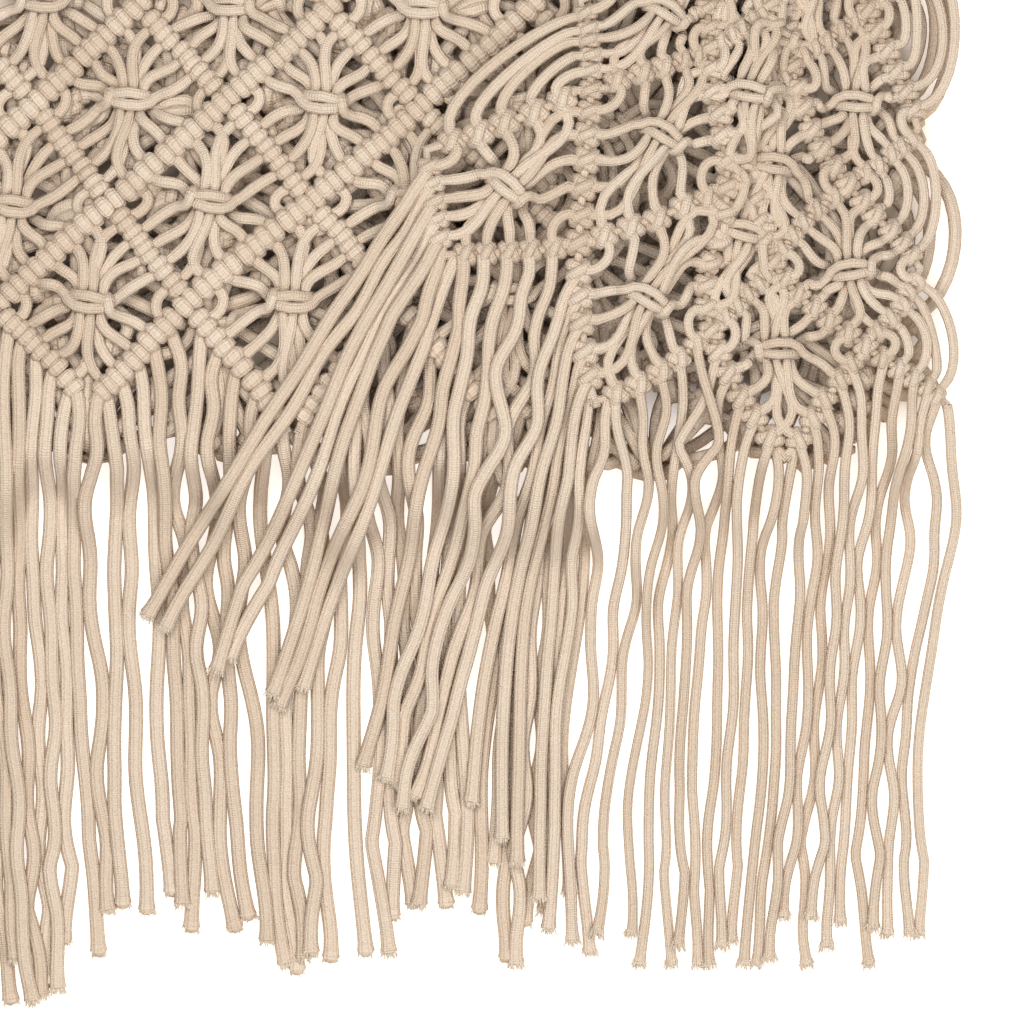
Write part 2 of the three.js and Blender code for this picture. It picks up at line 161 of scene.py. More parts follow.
# Where the fringe strands end in plan, from left to right: the first and the last one of each strip, and
# of the leading cords at each tip of the zigzag bar
LOWER_FRINGE = [
    ([-288, -288], [-232, -232]), ([-283, -255], [-236, -231]), ([-249, -219], [-240, -225]),
    ([-216, -209], [-214, -200]), ([-203, -160], [-196, -200]), ([-155, -118], [-192, -222]),
    ([-112, -105], [-218, -222]), ([-100, -60], [-226, -205]), ([-55, -29], [-195, -186]),
    ([-24, -18], [-190, -200]), ([-12, 16], [-222, -190]),
]
UPPER_FRINGE = [
    ([-185, -131], [-62, -83]), ([-117, -106], [-90, -97]), ([-79, -51], [-130, -141]),
    ([-40, 10], [-152, -178]), ([22, 28], [-198, -212]), ([37, 74], [-215, -224]),
    ([80, 107], [-226, -219]), ([114, 120], [-221, -220]), ([127, 158], [-216, -215]),
    ([164, 187], [-216, -210]), ([196, 196], [-210, -210]),
]
END_JITTER = [5.0, 7.0]
LEFT_LIMIT = -318.0

# Course of a strand in plan: how it leaves its bar, its waves and ripples (size, turns along it, how soon
# they set in) and the curl at its end
STRAND_STEP = 2.0
STRAND_PLACES = 200
ROOT_LEAD = 24.0
ROOT_DROP = 1.5
END_LEAD = 0.45
WAVE = 4.6
WAVE_TURNS = (0.7, 1.9)
WAVE_ONSET = 2.5
RIPPLE = 1.0
RIPPLE_TURNS = (2.5, 5.0)
RIPPLE_ONSET = 3
CURL = 7.0
CURL_JITTER = 5.0
CURL_FROM = 0.8
CURL_LENGTH = 0.4

# How strands lie on what is beneath them, and how they push each other apart at levels of the plan
LIE_REACH = 5
FALL = 0.36
FALL_REACH = 3
RISE_LENGTH = 30.0
LEVELS = np.arange(240.0, -265.0, -3.0)
SIDE_BY_SIDE = 2.1 * FULL_RADIUS
HELD_LENGTH = 6
LOOSE_LENGTH = 45
PUSHES = 100
PUSH = 0.05
PUSH_REACH = 12

# Cut ends: a strand is fuller where it lies slack, flares at its end, and frays into fibres on the upper half
SLACK_FULLNESS = 0.18
FLARE = 0.3
FLARE_LENGTH = 3
END_ROUNDING = 0.8
FIBRES = 40
FIBRE_ARC = (-0.1, 1.1)
FIBRE_RING = 1.1
FIBRE_ROOT = 1.5
FIBRE_LENGTH = (0.8, 3.8)
FIBRE_SPREAD = (0.2, 1.8)
FIBRE_JITTER = 0.4
FIBRE_SHARE = (0.12, 0.2)
FIBRE_TAPER = 0.4
FIBRE_LOWEST = 0.4
FIBRE_PLACES = 4

# Sides of the tubes: on the layers that show only through the gaps, on the other cords, and of the fibres
HIDDEN_SIDES = 6
CORD_SIDES = 8
FIBRE_SIDES = 3
STEEP = 0.9

# Cotton: plies of the braid round the cord and their turn for each millimetre, then grain, patches and specks
BRAID_PLIES = 6.0
BRAID_TURN = 2.6
GRAIN_SCALE = 1100
GRAIN_DETAIL = 3
GRAIN_RELIEF = 1.6
RELIEF_STRENGTH = 0.7
RELIEF_DEPTH = 0.0004
PATCH_SCALE = 35
PATCH_DETAIL = 4
TINT_SHADE = 0.45
PATCH_SHADE = 0.6
# The braid and grain darken the colour where their relief is low: painted shade in the grooves of the braid,
# and for the grain partly its own tone and partly painted shade
BRAID_PAINTED_SHADE = 0.1
GRAIN_TONE_AND_PAINTED_SHADE = 1.2
SPECK_SCALE = 550
SPECK_SIZE = 0.16
SPECK_DEPTH = 0.3
SPECK_COLOUR = (140, 108, 76)
CORD_COLOURS = [(194, 170, 143), (215, 195, 171)]
# Frayed tips: paler colours, partly the lighter tone of frayed cotton and partly painted light that lifts the
# tips out of their shade, and a glow of painted light
FRAYED_TONE_AND_PAINTED_LIGHT_COLOURS = [(215, 194, 168), (232, 214, 191)]
FRAYED_PAINTED_GLOW = 0.35

# Floor, light and camera, in metres. The open floor begins right of the net and below it, and is at its
# brightest a little further out.
FLOOR_SIZE = 20
# The floor is tan so that where it shows through the gaps of the net it reads as painted brown shade; where
# it lies open it glows white
FLOOR_PAINTED_SHADE_COLOUR = (0.8, 0.66, 0.5, 1)
FLOOR_GLOW = 0.65
OPEN_RIGHT = 0.238
OPEN_BELOW = -0.004
OPEN_FADE = 0.026
WHITE = (1, 1, 1, 1)
LIGHT_COLOUR = (0.95, 0.98, 1.05)
SURROUND = 0.2
CAMERA_HEIGHT = 4.0
SHOWN_WIDTH = 0.512
SENSOR = 36
CAMERA_REACH = 100


def smooth(t):
    """Soft step from 0 to 1 while t goes from 0 to 1."""
    t = np.clip(t, 0, 1)
    return t * t * (3 - 2 * t)


def unit(ways):
    """The same directions with a length of 1."""
    return ways / np.linalg.norm(ways, axis=-1, keepdims=True)


def through(a, b, c, d, t):
    """Places between b and c, on smooth curves that also pass a and d."""
    return 0.5 * (2 * b + (c - a) * t + (2 * a - 5 * b + 4 * c - d) * t**2 + (3 * b - a - 3 * c + d) * t**3)


def plan_place(rows, u, v):
    """Place in plan on one layer, on smooth curves through its columns and its rows."""
    places = np.array([np.column_stack(row[1:]) for row in rows], float)
    last_span = places.shape[1] - 2
    places = np.pad(places, ((0, 0), (1, 1), (0, 0)), mode="edge")
    t = (u + 1) / 2
    k = np.clip(np.floor(t).astype(int), 0, last_span)
    p = through(*(places[:, k + i].swapaxes(0, 1) for i in range(4)), (t - k)[:, None, None])
    p = np.concatenate([2 * p[:, :1] - p[:, 1:2], p, 2 * p[:, -1:] - p[:, -2:-1]], 1)
    at = np.array([row[0] for row in rows], float)
    k = np.clip(np.searchsorted(at, v, side="right") - 1, 0, len(at) - 2)
    n = np.arange(len(k))
    t = ((v - at[k]) / (at[k + 1] - at[k]))[:, None]
    return through(*(p[n, k + i] for i in range(4)), t)


def stretched_row(v):
    """The rows beside a fold are stretched over what the fold takes of them."""
    out = v.copy()
    for fold in (FIRST_FOLD, MIDDLE_FOLD, LAST_FOLD):
        near = np.abs(v - fold) < 1
        off = v[near] - fold
        out[near] = fold + np.sign(off) * (np.abs(off) - FOLD_ROWS) / (1 - FOLD_ROWS)
    return out


def corner(layer, u, v):
    """Place in plan of one lattice place of a layer."""
    return plan_place(LAYERS[layer][3], np.array([float(u)]), np.array([float(v)]))[0]


LOWER_LEFT_FOLD = corner(0, 0, FIRST_FOLD)
LOWER_RIGHT_FOLD = corner(0, COLUMNS, FIRST_FOLD)
LOWER_END_RIGHT = corner(0, COLUMNS, 1)
MIDDLE_LEFT = corner(1, 0, MIDDLE_FOLD)
MIDDLE_RIGHT = corner(1, COLUMNS, MIDDLE_FOLD)
LAST_LEFT = corner(TOP_LAYER, 0, LAST_FOLD)


def beside(p, a, b):
    """1 on the covered side of the line from a to b, falling to 0 over the ramp."""
    way = unit(b - a)
    off = (p[:, 0] - a[0]) * way[1] - (p[:, 1] - a[1]) * way[0]
    return 1 - smooth((-off - RAMP_MARGIN) / RAMP)


def layer_height(layer, p):
    """Height of the middle of a layer, which lies on all the layers beneath it."""
    over_lower_middle = beside(p, MIDDLE_LEFT, LAST_LEFT)
    top_edge = beside(p, LOWER_LEFT_FOLD, LOWER_RIGHT_FOLD)
    left_edge = beside(p, MIDDLE_LEFT, LOWER_LEFT_FOLD)
    over_upper_middle = left_edge * beside(p, LOWER_RIGHT_FOLD, MIDDLE_RIGHT) * top_edge
    over_lower_end = beside(p, LOWER_RIGHT_FOLD, LOWER_END_RIGHT) * top_edge
    beneath = [
        over_lower_middle + over_upper_middle,
        over_lower_middle,
        0 * over_lower_middle,
        1 + over_upper_middle + over_lower_end,
    ][layer]
    return LOWEST_MIDDLE + LAYER_PITCH * beneath


def pleat(u, v):
    """Rise of the upper end beside the crease that runs along it, right of its middle."""
    ridge = smooth((u - PLEAT_RISE) / PLEAT_RISE_WIDTH) * (1 - smooth((u - PLEAT_DROP) / PLEAT_DROP_WIDTH))
    return PLEAT_HEIGHT * ridge * smooth((PLEAT_END - v) / PLEAT_FADE)


def surface(u, v):
    """Places on the middle surface of the runner. A fold is half a turn from one layer to the next."""
    u, v = np.broadcast_arrays(np.asarray(u, float), np.clip(v, 0, ROWS))
    shape = u.shape
    u, v = u.ravel(), v.ravel()
    out = np.zeros((len(u), 3))
    for layer, (_, start, end, rows) in enumerate(LAYERS):
        low = start + (FOLD_ROWS if layer > 0 else 0)
        high = end - (FOLD_ROWS if layer < TOP_LAYER else 0)
        on = (v >= low) & (v <= high)
        p = plan_place(rows, u[on], stretched_row(v[on]))
        out[on] = np.column_stack([p, layer_height(layer, p)])
        if layer == TOP_LAYER:
            rise = pleat(u[on], v[on])
            out[on] += np.column_stack([PLEAT_LEAN * rise, 0 * rise, rise])
    for layer, outward in enumerate([1, -1, 1]):
        fold = LAYERS[layer][2]
        on = np.abs(v - fold) < FOLD_ROWS
        p = plan_place(LAYERS[layer][3], u[on], np.full(on.sum(), float(fold)))
        one, two = layer_height(layer, p), layer_height(layer + 1, p)
        turn = (v[on] - fold) / FOLD_ROWS * math.pi / 2
        p[:, 1] += outward * np.abs(two - one) / 2 * np.cos(turn)
        out[on] = np.column_stack([p, (one + two) / 2 + (two - one) / 2 * np.sin(turn)])
    return out.reshape(*shape, 3)


def girth(places):
    """Full radius of the cord at each place."""
    pulled = smooth((places[..., :1] - PULLED_FROM) / (PULLED_TO - PULLED_FROM))
    return FULL_RADIUS + (PULLED_RADIUS - FULL_RADIUS) * pulled


def frames(u, v):
    """Places with the directions across the runner, along it and to its front face."""
    step = 0.03
    across = surface(u + step, v) - surface(u - step, v)
    along = surface(u, v + step) - surface(u, v - step)
    front = unit(np.cross(across, along))
    along = unit(along)
    return surface(u, v), np.cross(along, front), along, front


def hitches(u, v, lean):
    """Courses of hitches about bars at these places, with the share of the radius at which the hitches
    touch, and the side that each cord comes from. lean is a bar's step across for each row along."""
    place, _, along, front = frames(u, v)
    step = 0.04
    bar = surface(u + lean * step, v + step) - surface(u - lean * step, v - step)
    quarter = np.linalg.norm(bar, axis=-1, keepdims=True) / (2 * step) * SLOT_STEP / 4
    bar = unit(bar)
    share = np.clip(quarter / girth(place), *HITCH_SHARES)
    source = unit(np.cross(bar, front))
    source *= -np.sign(np.sum(source * along, -1, keepdims=True))
    broad = np.where(lean > 0, BROAD, 1)[..., None]
    course = (
        place[..., None, :]
        + HITCH[:, 0, None] * (quarter * bar)[..., None, :]
        + HITCH[:, 1, None] * CORD * (broad * source)[..., None, :]
        + HITCH[:, 2, None] * CORD * front[..., None, :]
    )
    return np.concatenate([course, HITCH[:, 3, None] * share[..., None, :]], -1), source


def bend(start, start_way, end, end_way, count, pull):
    """Places on a smooth course between two ends, without the ends. It bulges up and sways a little."""
    t = np.linspace(0, 1, count + 2)[1:-1, None]
    reach = pull * np.linalg.norm(end - start)
    course = (
        (2 * t**3 - 3 * t**2 + 1) * start
        + (t**3 - 2 * t**2 + t) * reach * start_way
        + (3 * t**2 - 2 * t**3) * end
        + (t**3 - t**2) * reach * end_way
    )
    lift = np.array([0, 0, FLOAT_LIFT * CORD])
    return course + np.sin(math.pi * t) * rng.normal(lift, FLOAT_JITTER)


def with_share(course, share):
    """A course with the share of the cord's full radius at each place."""
    return np.column_stack([course, np.broadcast_to(share, len(course))])


# Hitches of every strip, cord and row of cells, and the frames of every lattice place
strip, cord, cell = np.meshgrid(np.arange(COLUMNS), np.arange(STRIP_CORDS), np.arange(ROWS), indexing="ij")
rising = (strip + cell) % 2 == 0
bar_slot = np.where(rising, SLOTS[cord], 1 - SLOTS[cord])
bar_courses, bar_sources = hitches(strip + SLOTS[cord], cell + bar_slot, np.where(rising, 1, -1))
bar_courses[..., :3] += rng.normal(0, HITCH_JITTER, (*strip.shape, 1, 3))
lattice = frames(*np.meshgrid(np.arange(COLUMNS + 1.0), np.arange(ROWS + 1.0), indexing="ij"))
knot_hand = np.where(rng.random((COLUMNS + 1, ROWS + 1)) < TURNED_KNOTS, -1, 1)


def knot_frame(u, v):
    """Lattice place with its directions across the runner, along it and to its front face."""
    return [part[u, v] for part in lattice]


def filler(start, start_way, end, end_way, u, v, side, rank):
    """Float through the middle of a knot. rank counts the fillers outwards from the middle."""
    place, across, along, front = knot_frame(u, v)
    offset = side * (rank + 0.5) * WAIST_STEP * CORD
    depth = WAIST_DEPTH * CORD * (1 if (rank + (side > 0)) % 2 else -1)
    waist = place + offset * across + depth * front
    reach = WAIST_REACH * CORD * along
    inward = bend(start, start_way, waist - reach, along, FILLER_PLACES, FILLER_PULL)
    outward = bend(waist + reach, along, end, end_way, FILLER_PLACES, FILLER_PULL)
    middle = with_share(np.array([waist - reach, waist, waist + reach]), WAIST_SHARE)
    return np.vstack([with_share(inward, 1), middle, with_share(outward, 1)])


def worker(start, start_way, end, end_way, u, v, side):
    """Outer float of a diamond, which ties the square knot."""
    place, across, along, front = knot_frame(u, v)
    hand = knot_hand[u, v] * side
    tied = place + CORD * (side * KNOT[:, :1] * across - KNOT[:, 1:2] * along + hand * KNOT[:, 2:] * front)
    start_way = unit(WORKER_SQUARE * start_way + unit(tied[0] - start))
    end_way = unit(WORKER_SQUARE * end_way + unit(end - tied[-1]))
    inward = bend(start, start_way, tied[0], unit(tied[1] - tied[0]), WORKER_PLACES, WORKER_PULL)
    outward = bend(tied[-1], unit(tied[-1] - tied[-2]), end, end_way, WORKER_PLACES, WORKER_PULL)
    return np.vstack([with_share(inward, 1), with_share(tied, KNOT_SHARE), with_share(outward, 1)])


def float_rank(m, k, j):
    """Side of the diamond on which a cord floats after its bar in row j, and its rank outwards there."""
    side = 1 if (m + j) % 2 == 0 else -1
    return side, k if side > 0 else STRIP_CORDS - 1 - k


def turns_back(m, k, j):
    """Whether a cord turns straight back after its bar in row j, in the side corner of the diamond."""
    return float_rank(m, k, j)[1] == STRIP_CORDS - 1


def hitch_course(m, k, j):
    """Course of one hitch. It ends beneath its bar where the cord turns back there or leaves the net."""
    first = TAIL if j == 0 or turns_back(m, k, j - 1) else 0
    last = TAIL if j == ROWS - 1 or turns_back(m, k, j) else 0
    return bar_courses[m, k, j, first : len(HITCH) - last]


def loop(m, k, j, u, side):
    """Round loop in the side corner of a diamond."""
    start, end = hitch_course(m, k, j)[-1, :3], hitch_course(m, k, j + 1)[0, :3]
    inward = knot_frame(u, j + 1)[0] - knot_frame(u + side, j + 1)[0]
    pull = LOOP_BOW * np.linalg.norm(inward) / np.linalg.norm(end - start)
    return with_share(bend(start, unit(inward), end, -unit(inward), LOOP_PLACES, pull), 1)


def float_course(m, k, j):
    """Course of a strip's cord from its bar in row j to the next one."""
    start, end = bar_courses[m, k, j, -1, :3], bar_courses[m, k, j + 1, 0, :3]
    start_way, end_way = -bar_sources[m, k, j], -bar_sources[m, k, j + 1]
    side, rank = float_rank(m, k, j)
    u = m if side > 0 else m + 1
    if turns_back(m, k, j):
        return loop(m, k, j, u, side)
    if u in (0, COLUMNS):
        pull = rng.normal(1, BOW_JITTER) * (LEFT_BOW if u == 0 else RIGHT_BOW)
        return with_share(bend(start, start_way, end, end_way, SELVEDGE_PLACES, pull), 1)
    if rank == STRIP_CORDS - 2:
        return worker(start, start_way, end, end_way, u, j + 1, side)
    return filler(start, start_way, end, end_way, u, j + 1, side, rank)


def strip_course(m, k):
    """Whole course of a strip's cord in the net, and the row that each place belongs to."""
    parts, rows = [], []
    for j in range(ROWS):
        parts.append(hitch_course(m, k, j))
        rows.append(np.full(len(parts[-1]), j + 0.5))
        if j < ROWS - 1:
            parts.append(float_course(m, k, j))
            rows.append(np.full(len(parts[-1]), j + 1.0))
    return np.vstack(parts), np.concatenate(rows)


def leader_course(u, v, lean):
    """Course of a leading cord: along the bars, turning at the selvedges. Where two leaders cross, the
    one that leans left is hitched on the other."""
    parts, rows = [with_share(surface(u + LEADER_END * lean, v)[None], LEADER_SHARE)], [[v]]
    while v < ROWS:
        parts.append(with_share(surface(u + lean * LEADER_PLACES, v + LEADER_PLACES), LEADER_SHARE))
        rows.append(v + LEADER_PLACES)
        u, v = u + lean, v + 1
        if u in (0, COLUMNS):
            lean = -lean
            parts.append(with_share(surface(u, v)[None], LEADER_SHARE))
            rows.append([v])
        elif lean < 0 and v < ROWS:
            parts.append(hitches(np.array([float(u)]), np.array([float(v)]), np.array([1]))[0][0])
            rows.append(np.full(len(HITCH), v))
    parts.append(with_share(surface(u + LEADER_END * lean, v)[None], LEADER_SHARE))
    rows.append([v])
    return np.vstack(parts), np.concatenate(rows)


def distances(places):
    """Distance gone along a course at each of its places."""
    return np.concatenate([[0], np.cumsum(np.linalg.norm(np.diff(places, axis=0), axis=1))])


def dense(course, step):
    """The same course with a place every step."""
    gone = distances(course[:, :3])
    at = np.linspace(0, gone[-1], max(2, int(gone[-1] / step) + 1))
    return np.column_stack([np.interp(at, gone, values) for values in course.T])


def windows(values, reach):
    """The values round each value of the last axis."""
    around = [(0, 0)] * (values.ndim - 1) + [(reach, reach)]
    padded = np.pad(values, around, mode="edge")
    return np.lib.stride_tricks.sliding_window_view(padded, 2 * reach + 1, axis=-1)


class Heap:
    """Heights of what lies on the floor, on a grid of one millimetre."""

    LOW = np.array([-350, -290])
    SIZE = (640, 700)
    STEP = 1.2

    def __init__(self):
        self.top = np.zeros(self.SIZE)
        reach = int(FULL_RADIUS)
        dx, dy = np.meshgrid(np.arange(-reach, reach + 1), np.arange(-reach, reach + 1))
        near = dx**2 + dy**2 <= FULL_RADIUS**2
        self.dx, self.dy = dx[near], dy[near]
        self.dome = np.sqrt(FULL_RADIUS**2 - self.dx**2 - self.dy**2)

    def cells(self, places):
        """Cells that a cord covers at each place."""
        at = np.rint(places[:, :2] - self.LOW).astype(int)
        x = np.clip(at[:, :1] + self.dx, 0, self.SIZE[0] - 1)
        y = np.clip(at[:, 1:] + self.dy, 0, self.SIZE[1] - 1)
        return x, y

    def add(self, course):
        """Put a cord on the heap."""
        course = dense(course, self.STEP)
        np.maximum.at(self.top, self.cells(course), course[:, 2:3] + self.dome)

    def lowest_middle(self, places):
        """Height of the middle of a cord that rests on the heap at each place."""
        return np.max(self.top[self.cells(places)] + self.dome, axis=1)


def laid(heap, plan, root_height):
    """A strand laid on the heap along its plan, from the height of its root."""
    gone = STRAND_STEP * np.arange(len(plan))
    lowest = heap.lowest_middle(plan)
    resting = windows(windows(lowest, LIE_REACH).max(axis=1), LIE_REACH).mean(axis=1)
    above = root_height - resting[0]
    if above > 0:
        height = np.maximum(resting, root_height - FALL * gone)
        height = windows(height, FALL_REACH).mean(axis=1)
        height += (root_height - height[0]) * (1 - smooth(gone / RISE_LENGTH))
    else:
        height = resting + above * (1 - smooth(gone / RISE_LENGTH))
    return np.column_stack([plan, height])


def strand_sway():
    """Waves and ripples of a strand, each as size, turns along it and start, and the curl of its end."""
    return [
        rng.normal(0, WAVE), rng.uniform(*WAVE_TURNS), rng.random(),
        rng.normal(0, RIPPLE), rng.uniform(*RIPPLE_TURNS), rng.random(),
        rng.normal(CURL, CURL_JITTER),
    ]


def strand_plan(root, way, end, sway):
    """A wavy strand in plan from its root to its end: it leaves the bar squarely, soon turns towards
    its end and curls a little to the right there."""
    wave, wave_turns, wave_start, ripple, ripple_turns, ripple_start, curl = sway
    way = unit(way + np.array([0.0, -ROOT_DROP]))
    first = root + ROOT_LEAD * way
    second = first + END_LEAD * (end - first)
    t = np.linspace(0, 1, STRAND_PLACES)[:, None]
    course = (1 - t) ** 3 * root + 3 * t * (1 - t) ** 2 * first + 3 * t**2 * (1 - t) * second + t**3 * end
    ways = unit(np.gradient(course, axis=0))
    square = np.column_stack([-ways[:, 1], ways[:, 0]])
    t = t[:, 0]
    waves = wave * np.sin(2 * math.pi * (wave_turns * t + wave_start)) * smooth(WAVE_ONSET * t)
    ripples = ripple * np.sin(2 * math.pi * (ripple_turns * t + ripple_start)) * smooth(RIPPLE_ONSET * t)
    course = course + square * (waves + ripples)[:, None]
    course[:, 0] += curl * smooth((t - CURL_FROM) / CURL_LENGTH)
    return dense(course, STRAND_STEP)


def spread_out(plans):
    """Strands in plan, pushed apart where they lie less than side by side. Of two strands, the one
    that is more to the left on the whole is pushed to the left."""
    x = np.full((len(plans), len(LEVELS)), np.nan)
    for n, plan in enumerate(plans):
        y = np.minimum.accumulate(plan[:, 1])
        on = (LEVELS <= y[0]) & (LEVELS >= y[-1])
        x[n, on] = np.interp(-LEVELS[on], -y, plan[:, 0])
    start = np.array([plan[0, 1] for plan in plans])[:, None]
    free = smooth((start - LEVELS - HELD_LENGTH) / LOOSE_LENGTH)
    side = np.sign(np.nansum(x[:, None] - x, axis=2))[..., None]
    for _ in range(PUSHES):
        gap = side * (x[:, None] - x)
        lack = np.where(np.abs(gap) < SIDE_BY_SIDE, SIDE_BY_SIDE - gap, 0)
        move = PUSH * np.sum(side * lack, axis=1)
        x += free * windows(move, PUSH_REACH).mean(axis=-1)
    spread = []
    for plan, row in zip(plans, x):
        on = np.isfinite(row)
        course = np.vstack([plan[:1], np.column_stack([row[on], LEVELS[on]])])
        course[:, 0] = np.maximum(course[:, 0], LEFT_LIMIT)
        spread.append(dense(course, STRAND_STEP))
    return spread


def fringe_roots(courses, leaders, end_row):
    """Roots of an end's strands from left to right, in the order of its fringe table, as lists of
    (place, direction away from the net)."""
    last = end_row == ROWS
    at = -1 if last else 0
    step = -1 if last else 1

    def root(course, inside=0):
        place, inner = course[at + inside * step, :3], course[at + (inside + 1) * step, :3]
        return place, unit((place - inner)[:2])

    tips = sorted([root(course, 1) for course in leaders], key=lambda one: one[0][0])
    groups = []
    for u in range(COLUMNS + 1):
        if u % 2 == end_row % 2:
            count = 1 if u in (0, COLUMNS) else 2
            groups.append(tips[:count])
            tips = tips[count:]
        if u < COLUMNS:
            groups.append([root(courses[u, k]) for k in range(STRIP_CORDS)])
    return groups


def fringe_strands(heap, roots, table):
    """Strands of one end, laid one after another in a mixed order."""
    plans, heights = [], []
    for group, (xs, ys) in zip(roots, table):
        for place, (root, way) in enumerate(group):
            share = place / max(1, len(group) - 1)
            end = np.array([np.interp(share, [0, 1], xs), np.interp(share, [0, 1], ys)])
            end += rng.normal(0, END_JITTER)
            plans.append(strand_plan(root[:2], way, end, strand_sway()))
            heights.append(root[2])
    plans = spread_out(plans)
    strands = []
    for n in rng.permutation(len(plans)):
        course = laid(heap, plans[n], heights[n])
        heap.add(course)
        strands.append(course)
    return strands


def tapered(course):
    """A strand with its share of the radius: fuller where it lies slack, and flared at its cut end."""
    course = np.vstack([course[:-4:2], course[-3:]])
    left = np.linalg.norm(course[:, :3] - course[-1, :3], axis=1)
    slack = (girth(course)[:, 0] - PULLED_RADIUS) / (FULL_RADIUS - PULLED_RADIUS)
    share = 1 + SLACK_FULLNESS * slack + FLARE * np.exp(-left / FLARE_LENGTH)
    beyond = course[-1] + END_ROUNDING * unit(course[-1] - course[-2])
    return np.vstack([np.column_stack([course, share]), [*beyond, END_ROUNDING * share[-1]]])


def tip_fibres(course):
    """Frayed plies at the cut end of a strand, short and blunt."""
    end = course[-1]
    way = unit(end - course[-4])
    level = unit(np.array([-way[1], way[0], 0]))
    upright = np.cross(way, level)
    t = np.linspace(0, 1, FIBRE_PLACES)[:, None]
    fibres = []
    for _ in range(FIBRES):
        turn = rng.uniform(*FIBRE_ARC) * math.pi
        out = math.cos(turn) * level + math.sin(turn) * upright
        off = math.sqrt(rng.random())
        length = rng.uniform(*FIBRE_LENGTH)
        spread = off * rng.uniform(*FIBRE_SPREAD)
        root = end - FIBRE_ROOT * way + off * FULL_RADIUS * FIBRE_RING * out
        sway = t**2 * rng.normal(0, FIBRE_JITTER, 3)
        fibre = root + t * (length + FIBRE_ROOT) * way + t**2 * spread * out + sway
        fibre[:, 2] = np.maximum(fibre[:, 2], FIBRE_LOWEST)
        fibres.append(np.column_stack([fibre, rng.uniform(*FIBRE_SHARE) * (1 - FIBRE_TAPER * t**2)]))
    return fibres


def rings(course, sides):
    """Ring of points round each place of a course, turning as little as possible along it, and the
    turn (as a direction) and distance along the course of each point."""
    places = course[:, :3]
    radius = course[:, 3:] * girth(course)
    ways = unit(np.gradient(places, axis=0))
    steep = abs(ways[0, 2]) >= STEEP
    side = np.cross(ways[0], (1.0, 0.0, 0.0) if steep else (0.0, 0.0, 1.0))
    square = np.empty_like(ways)
    for n, way in enumerate(ways):
        side = side - side.dot(way) * way
        side = side / math.sqrt(side.dot(side))
        square[n] = side
    other = np.cross(ways, square)
    turn = 2 * math.pi * np.arange(sides) / sides
    turns = np.column_stack([np.cos(turn), np.sin(turn)])
    out = turns[:, 0, None] * square[:, None] + turns[:, 1, None] * other[:, None]
    turn_marks = np.broadcast_to(turns, (len(course), sides, 2))
    gone_marks = np.broadcast_to(distances(places)[:, None, None], (len(course), sides, 1))
    marks = np.concatenate([turn_marks, gone_marks], axis=2)
    return (places[:, None] + radius[:, None] * out).reshape(-1, 3), marks.reshape(-1, 3)


def tube_faces(count, sides, first):
    """Corner lists of the four-sided faces of a tube, and of its two end faces."""
    ring = first + sides * np.arange(count - 1)[:, None]
    one = np.arange(sides)
    two = (one + 1) % sides
    quads = np.stack([ring + one, ring + two, ring + sides + two, ring + sides + one], -1).reshape(-1, 4)
    caps = np.array([first + one[::-1], first + sides * (count - 1) + one])
    return quads, caps


def filled_mesh(name, points, quads, caps):
    """A smooth mesh from points in metres and the corner lists of its faces."""
    corners = np.concatenate([quads.ravel(), caps.ravel()])
    starts = np.concatenate([4 * np.arange(len(quads)), quads.size + caps.shape[1] * np.arange(len(caps))])
    mesh = bpy.data.meshes.new(name)
    mesh.vertices.add(len(points))
    mesh.vertices.foreach_set("co", points.astype(np.float32).ravel())
    mesh.loops.add(len(corners))
    mesh.loops.foreach_set("vertex_index", corners.astype(np.int32))
    mesh.polygons.add(len(starts))
    mesh.polygons.foreach_set("loop_start", starts.astype(np.int32))
    mesh.polygons.foreach_set("use_smooth", np.ones(len(starts), bool))
    return mesh


def make_piece(name, courses, sides, node, material):
    """One mesh of all these tubes, standing for a solid of the model."""
    points, marks, tints, quads, caps = [], [], [], [], []
    first = 0
    for course in courses:
        course = course.copy()
        course[:, 2] = np.maximum(course[:, 2], course[:, 3] * girth(course)[:, 0])
        ring_points, ring_marks = rings(course, sides)
        tube_quads, tube_caps = tube_faces(len(course), sides, first)
        points.append(ring_points)
        marks.append(ring_marks)
        tints.append(np.full(len(ring_points), rng.random()))
        quads.append(tube_quads)
        caps.append(tube_caps)
        first += len(ring_points)
    mesh = filled_mesh(name, (np.vstack(points) - PLAN_CENTRE) / 1000, np.vstack(quads), np.vstack(caps))
    place = mesh.attributes.new("cord_place", "FLOAT_VECTOR", "POINT")
    place.data.foreach_set("vector", np.vstack(marks).astype(np.float32).ravel())
    tint = mesh.attributes.new("cord_tint", "FLOAT", "POINT")
    tint.data.foreach_set("value", np.concatenate(tints).astype(np.float32))
    mesh.update()
    mesh.validate()
    mesh.materials.append(material)
    piece = bpy.data.objects.new(name, mesh)
    bpy.context.collection.objects.link(piece)
    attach(piece, "root")
    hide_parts(node)


def linear(red, green, blue):
    """Colour of the screen values 0 to 255, with full opacity."""
    values = np.array([red, green, blue]) / 255
    values = np.where(values <= 0.04045, values / 12.92, ((values + 0.055) / 1.055) ** 2.4)
    return (*values.tolist(), 1.0)


def new_material(name, settings):
    """A material with these settings of its shader, its node tree and the shader."""
    material = bpy.data.materials.new(name)
    material.use_nodes = True
    shader = material.node_tree.nodes["Principled BSDF"]
    for socket, value in settings.items():
        shader.inputs[socket].default_value = value
    return material, material.node_tree, shader


